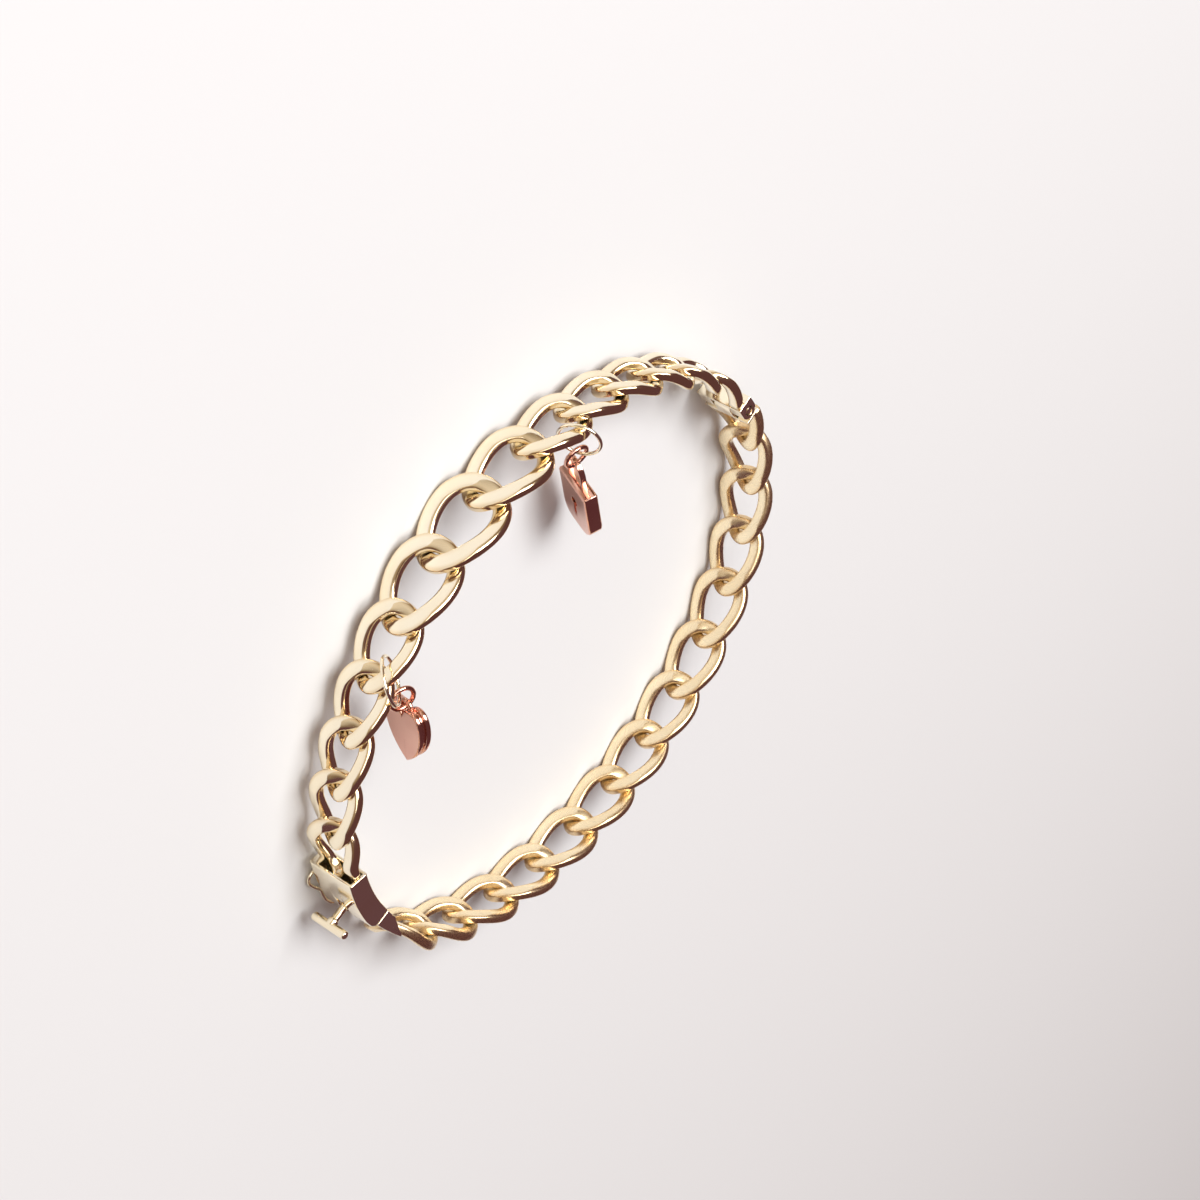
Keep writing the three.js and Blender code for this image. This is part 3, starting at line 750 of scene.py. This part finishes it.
makePiece("thumb_tab_spring", [
    (toRest(atStation(0.0, springLeaf)), False),
    (toRest(atStation(0.0, post)), False),
    (toRest(atStation(0.0, bar)), False),
], polishedGold, "thumb_tab", "thumb_tab")

catch = {
    "wire": 0.16,
    "out": -0.3,
    # along, and out from its middle
    "side": [(4.35, 0.2), (4.35, 0.75), (4.1, 1.35), (3.5, 1.62), (2.6, 1.35), (1.65, 0.98),
             (0.9, 1.03), (0.0, 1.1), (-0.8, 0.98), (-1.4, 0.72), (-1.68, 0.3)],
}


# Catmull-Rom through closed points: half of
# 2b + (c - a) t + (2a - 5b + 4c - d) t^2 + (3b - a - 3c + d) t^3.
def smoothLoop(points, steps):
    a, b, c, d = (np.roll(points, k, 0)[:, None] for k in (1, 0, -1, -2))
    t = np.linspace(0, 1, steps, endpoint=False)[None, :, None]
    loop = 2 * b + (c - a) * t
    loop = loop + (2 * a - 5 * b + 4 * c - d) * t**2 + (3 * b - a - 3 * c + d) * t**3
    return (loop / 2).reshape(-1, points.shape[1])


side = np.array(catch["side"])
bothSides = smoothLoop(np.concatenate([side, (side * (1, -1))[::-1]]), 14)
path = onBand(bothSides[:, 0], catch["out"] + bothSides[:, 1], clasp["wireLevel"])
forward = np.roll(path, -1, 0) - np.roll(path, 1, 0)
upward = 0 * path + (0, 0, 1)
x, y = section(2 * catch["wire"], 2 * catch["wire"], 2.0, 20)
wire = carried(path, forward, upward, x[None], y[None])
makePiece("figure_eight_catch", [(toRest(wire), True)],
          polishedGold, "safety_catch", "safety_catch")
print("clasp made")


# Hinge

hingeShape = {
    "half": 0.92,         # half its thickness
    "width": 2.6,         # half its width
    "plateFrom": 1.02,    # from the pin, along the band
    "plateTo": 1.3,
    "middle": 0.95,       # half the middle knuckle's length
    "gap": 0.12,
    "intoPlate": 0.1,
    "bore": 0.5,
    "pinEnd": [(0.1, 0), (0.32, 0.01), (0.38, 0.05), (0.4, 0.12)],   # radius, from its end
    "edge": 0.06,
}


# D-shaped knuckle: reach = half, or on the plate's side the nearer of the plate and the flats.
def knuckle(sideSign, low, high):
    half, plateAt = hingeShape["half"], hingeShape["plateFrom"] + hingeShape["intoPlate"]

    def reach(angle):
        towards = np.cos(angle) * sideSign
        toPlate = plateAt / np.maximum(towards, 1e-6)
        toFlat = half / np.maximum(np.abs(np.sin(angle)), 1e-6)
        return np.where(towards > 0, np.minimum(toPlate, toFlat), half)

    return collar(reach, hingeShape["bore"], low, high, hingeShape["edge"])


# Rectangle carried up past the knuckles, from the lower edge to the upper.
def endPlate(sideSign):
    near, far = sideSign * hingeShape["plateFrom"], sideSign * hingeShape["plateTo"]
    half, wide = hingeShape["half"], hingeShape["width"]
    outline = roundedOutline(rectangle(near, far, -half, half), 0.06, 0.15)
    return prism(outline, -wide, wide, hingeShape["edge"], 6)


# Points about the pin, set where the pin stands.
def atPin(points):
    return toRest(atStation(band["pinAlong"], points + (0, band["pinOut"], 0)))


wide, middle = hingeShape["width"], hingeShape["middle"]
gapFrom = middle + hingeShape["gap"]
makePiece("front_hinge_leaf", [
    (atPin(endPlate(-1)), False),
    (atPin(knuckle(-1, -wide, -gapFrom)), True),
    (atPin(knuckle(-1, gapFrom, wide)), True),
], polishedGold, "front_half", "hinge_front")
makePiece("back_hinge_leaf", [
    (atPin(endPlate(1)), False),
    (atPin(knuckle(1, -middle, middle)), True),
], polishedGold, "back_half", "hinge_back")
pinEnd = np.array(hingeShape["pinEnd"])
pin = turned(np.concatenate([pinEnd - (0, wide), (pinEnd * (1, -1) + (0, wide))[::-1]]))
makePiece("hinge_pin_rod", [(atPin(pin), False)],
          polishedGold, "front_half", "hinge_pin")
print("hinge made")


# Charms

charms = {
    "ringWire": 0.17,
    "ringFar": 2.9,        # from the arm's middle to the wire's, across the ring
    "ringSeam": 2.2,
    "linkRadius": 1.15,
    "linkWire": 0.22,
    "linkSeam": 2.6,
    "linkPlay": 0.09,
    # Each charm hangs on a front link, shifted along it. "chain" is the way that its ring and
    # small link hang and "hang" the way that it hangs itself, both with a roll about that way.
    "padlock": {"link": 9, "shift": 1.23, "chain": (0.238, 0.911, -0.3), "roll": 0.38,
                "ring": 1.95, "ringTurn": 0.8, "hang": (0.174, 0.98, -0.1), "hangRoll": 0.38},
    "heart": {"link": 5, "shift": -1.8, "chain": (0.045, 0.996, 0.02), "roll": 0.0,
              "ring": 2.2, "ringTurn": -0.8, "hang": (0.43, 0.9, 0.06), "hangRoll": 0.15},
}
padlock = {
    "width": 4.8,
    "height": 5.9,
    "depth": 1.4,
    "topCorner": 0.12,
    "corner": 1.5,
    "bevel": 0.14,
    "shackle": 3.2,
    "shackleHalf": 1.4,
    "shackleInto": 0.25,
    "linkAir": 0.25,      # between the small link's wire and the shackle
    "strap": 0.3,
    "strapDepth": 0.58,
    "eye": 0.5,
    "eyeDown": 0.42,      # share of the height from the top to the keyhole's eye
    "slotHalf": 0.21,
    "slotTo": 1.7,
    "keyDepth": 0.55,
    "keyFlare": 1.06,
}
heart = {
    "width": 5.0,
    "height": 6.0,
    "depth": 1.3,
    "groove": 0.24,
    "rim": 0.2,
    "eye": 0.7,
    "eyeAir": 0.17,
    "eyeSunk": 0.1,       # below the cleft
    "coreTip": 1.6,       # how many grooves the core stands back at the tip
    # bends of the left half from the cleft to the tip, in shares of half the width and of the height
    "bends": [(0, 0.15), (-0.2, -0.04), (-0.98, -0.09), (-1, 0.29), (-1, 0.62), (-0.5, 0.86), (0, 1)],
}


# The middle of a link's upper arm, "shift" along the band from the link's own middle, which is
# the link's ring at cos t = shift / reach.
def upperArm(i, shift):
    strip = stripOf(frontWidths[i])
    cosine = shift / (frontAfter[i] if shift > 0 else frontBefore[i])
    sine = math.sqrt(1 - cosine**2)
    return onBand(np.array(frontPlaces[i] + shift), np.array(-2 * liftOf(strip) * sine * cosine),
                  np.array((frontWidths[i] - strip) / 2 * sine))


# Axes of a hanging piece, as columns: across it, back towards the ring, and out of its face,
# which is rolled about the way that it hangs.
def turnTo(towards, roll):
    towards = Vector(towards).normalized()
    face = Matrix.Rotation(roll, 3, towards) @ towards.cross(Vector((0, 0, 1))).normalized()
    return np.array(Matrix((face.cross(towards), -towards, face)).transposed())


# Rotation by an angle about one of the axes.
def turnedAbout(axis, angle):
    return np.array(Matrix.Rotation(angle, 3, axis))


# Key-shaped recess by angle from the eye: the eye's circle, or the slot below it.
def keyReach(angle):
    down = -np.sin(angle)
    slot = np.minimum(padlock["slotHalf"] / np.maximum(np.abs(np.cos(angle)), 1e-6),
                      padlock["slotTo"] / np.maximum(down, 1e-6))
    return np.where(down > 0, np.maximum(padlock["eye"], slot), padlock["eye"])


# Body: rows for the floor and wall of the keyhole, front face, bevel, side, bevel and back. A
# point of the front is eye + key (1 - t) + (outline - eye) t. Shackle: a flat strap carried
# up, over a half circle and down.
def padlockSurfaces():
    wide, half = padlock["width"] / 2, padlock["depth"] / 2
    arch = charms["linkWire"] + padlock["linkAir"] + padlock["strap"]
    top = arch - padlock["shackle"]
    low = top - padlock["height"]
    corners = [(-wide, top), (-wide, low), (wide, low), (wide, top)]
    radii = [padlock["topCorner"], padlock["corner"], padlock["corner"], padlock["topCorner"]]
    outline = roundedOutline(corners, radii, 0.08)
    eye = np.array([0, top - padlock["height"] * padlock["eyeDown"]])
    spokes = outline - eye
    angle = np.arctan2(spokes[:, 1], spokes[:, 0])
    key = np.stack([np.cos(angle), np.sin(angle)], -1) * keyReach(angle)[:, None]
    flared = key * padlock["keyFlare"]
    bevel, bottom = padlock["bevel"], half - padlock["keyDepth"]
    face, rim = inset(outline, bevel), inset(outline, 0.1 * bevel)
    rows = [(eye + key * 0.97, bottom), (eye + key, bottom + 0.02), (eye + key, half - 0.03)]
    rows += [(eye + flared * (1 - t) + (face - eye) * t, half) for t in (0, 0.3, 0.6, 0.9, 1)]
    rows += [(inset(outline, bevel * 0.9), half - 0.004), (rim, half - bevel * 0.92)]
    rows += [(outline, half - bevel * 1.1), (outline, 0.0), (outline, bevel * 1.1 - half)]
    rows += [(rim, bevel * 0.92 - half), (face, -half)]
    levels = [np.full((len(outline), 1), level) for _, level in rows]
    body = np.stack([np.concatenate([flat, level], 1) for (flat, _), level in zip(rows, levels)])

    middle = padlock["shackleHalf"] - padlock["strap"] / 2
    springing = arch - padlock["shackleHalf"]
    bow = np.linspace(math.pi, 0, 40)
    rise = top + (springing - top) * np.array([0, 0.3, 0.6, 0.9])
    rise[0] -= padlock["shackleInto"]
    left = np.stack([0 * rise - middle, rise], -1)
    over = np.stack([middle * np.cos(bow), springing + middle * np.sin(bow)], -1)
    path = np.pad(np.concatenate([left, over, (left * (-1, 1))[::-1]]), ((0, 0), (0, 1)))
    outwards = 0 * path + (0, 0, 1)
    x, y = section(padlock["strapDepth"], padlock["strap"], 5, 32)
    return body, carried(path, np.gradient(path, axis=0), outwards, x[None], y[None])


# Bezier: (1 - t)^3 a + 3 (1 - t)^2 t b + 3 (1 - t) t^2 c + t^3 d, four of them round the heart.
def heartOutline(width, top, tipAt):
    left = np.array(heart["bends"]) * (width / 2, tipAt - top) + (0, top)
    bends = np.concatenate([left, (left[:-1] * (-1, 1))[::-1]])
    t = np.linspace(0, 1, 36, endpoint=False)[:, None]
    a, b, c, d = (bends[k:k + 10:3, None] for k in range(4))
    curves = (1 - t) ** 3 * a + 3 * (1 - t) ** 2 * t * b + 3 * (1 - t) * t**2 * c + t**3 * d
    return curves.reshape(-1, 2)


# Two heart outlines carried up as plates, a smaller core between them, and a torus as the eye,
# soldered in the cleft.
def heartSurfaces():
    half, groove = heart["depth"] / 2, heart["groove"]
    eyeFoot = 2 * charms["linkWire"] + heart["eyeAir"] - 2 * heart["eye"]
    cleft = heart["height"] * heart["bends"][0][1]
    top = eyeFoot + cleft + heart["eyeSunk"]
    tipAt = top - heart["height"]
    outline = heartOutline(heart["width"], top, tipAt)
    coreTip = tipAt + heart["coreTip"] * groove
    core = heartOutline(heart["width"] - 2 * groove, top - groove, coreTip)
    eye = wireRing(heart["eye"], charms["linkWire"], steps=96) + (0, eyeFoot + heart["eye"], 0)
    return [
        (prism(outline, groove / 2, half, heart["rim"]), False),
        (prism(outline, -half, -groove / 2, heart["rim"]), False),
        (prism(core, -half / 2, half / 2, 0.05), False),
        (eye, True),
    ]


body, shackle = padlockSurfaces()
shapes = {"padlock": [(body, False), (shackle, False)], "heart": heartSurfaces()}
linkReach = (charms["ringFar"] - charms["ringWire"] + charms["linkRadius"]
             - charms["linkWire"] - charms["linkPlay"])
for charm, surfaces in shapes.items():
    lie = charms[charm]
    arm = upperArm(lie["link"] - 1, lie["shift"])
    along = np.array(Vector(lie["chain"]).normalized())
    turn = turnTo(lie["chain"], lie["roll"]) @ turnedAbout("Y", lie["ringTurn"])
    ringPoints = wireRing(lie["ring"], charms["ringWire"], charms["ringSeam"])
    ringPoints = ringPoints @ turn.T + arm + (charms["ringFar"] - lie["ring"]) * along
    makePiece(f"{charm}_jump_ring", [(toRest(ringPoints), True)], polishedGold, "front_half",
              f"jump_ring_{charm}")
    between = turnTo(lie["chain"], (lie["roll"] + lie["hangRoll"]) / 2)
    turn = between @ turnedAbout("Y", math.pi / 2 + lie["ringTurn"] / 4)
    smallPoints = wireRing(charms["linkRadius"], charms["linkWire"], charms["linkSeam"], 96)
    smallPoints = smallPoints @ turn.T + arm + linkReach * along
    makePiece(f"{charm}_small_link", [(toRest(smallPoints), True)], roseGold, "front_half",
              f"charm_link_{charm}")
    turn = turnTo(lie["hang"], lie["hangRoll"])
    eyeAt = arm + (linkReach + charms["linkRadius"]) * along
    makePiece(f"rose_{charm}", [(toRest(grid @ turn.T + eyeAt), ring) for grid, ring in surfaces],
              roseGold, "front_half", f"{charm}_charm", sharpAbove=35)
print("charms made")


# Floor and light

studio = {
    "floorHalf": 3.0,
    "floorColour": (0.735, 0.745, 0.75),
    "floorRoughness": 0.9,
    "room": [(0.0, (0.12, 0.055, 0.065)), (0.62, (0.12, 0.055, 0.06)),
             (0.78, (0.27, 0.19, 0.12)), (1.0, (0.78, 0.66, 0.52))],
    "key": {"place": (-0.30, -0.35, 0.70), "size": (0.5, 0.5), "power": 7.8},
    "front": {"place": (0.10, -0.75, 0.80), "size": (1.0, 0.4), "power": 4.0},
}
floorMesh = bpy.data.meshes.new("floor")
corners = [(x, y, 0) for x, y in rectangle(-1, 1, -1, 1)]
floorMesh.from_pydata((np.array(corners) * studio["floorHalf"]).tolist(), [], [(0, 1, 2, 3)])
floor = bpy.data.objects.new("floor", floorMesh)
bpy.context.scene.collection.objects.link(floor)
floorPaint = bpy.data.materials.new("floor_paint")
floorPaint.use_nodes = True
shader = floorPaint.node_tree.nodes["Principled BSDF"]
shader.inputs["Base Color"].default_value = (*studio["floorColour"], 1)
shader.inputs["Roughness"].default_value = studio["floorRoughness"]
floorMesh.materials.append(floorPaint)

# The room's colour is read at 0.5 - 0.5 y of the direction, so it is pale in front and dark
# behind.
world = bpy.data.worlds.new("studio")
world.use_nodes = True
tree = world.node_tree
direction = addNode(tree, "ShaderNodeTexCoord")
facing = addNode(tree, "ShaderNodeMapping", vector_type="POINT")
facing.inputs["Scale"].default_value = (0.5, 0.5, 0.5)
facing.inputs["Location"].default_value = (0.5, 0.0, 0.0)
facing.inputs["Rotation"].default_value = (0, 0, math.radians(90))
fade = addNode(tree, "ShaderNodeTexGradient")
room = addNode(tree, "ShaderNodeValToRGB")
room.color_ramp.elements.new(0.5)
room.color_ramp.elements.new(0.75)
for stop, (at, colour) in zip(room.color_ramp.elements, studio["room"]):
    stop.position = at
    stop.color = (*colour, 1)
tree.links.new(direction.outputs["Generated"], facing.inputs["Vector"])
tree.links.new(facing.outputs["Vector"], fade.inputs["Vector"])
tree.links.new(fade.outputs["Fac"], room.inputs["Fac"])
tree.links.new(room.outputs["Color"], tree.nodes["Background"].inputs["Color"])
bpy.context.scene.world = world


# A soft light that looks at the origin.
def addSoftbox(name, box):
    light = bpy.data.lights.new(name, "AREA")
    light.shape = "RECTANGLE"
    light.size, light.size_y = box["size"]
    light.energy = box["power"]
    lamp = bpy.data.objects.new(name, light)
    bpy.context.scene.collection.objects.link(lamp)
    lamp.location = box["place"]
    lamp.rotation_euler = (-Vector(box["place"])).to_track_quat("-Z", "Y").to_euler()


addSoftbox("key", studio["key"])
addSoftbox("front", studio["front"])
print("studio made")
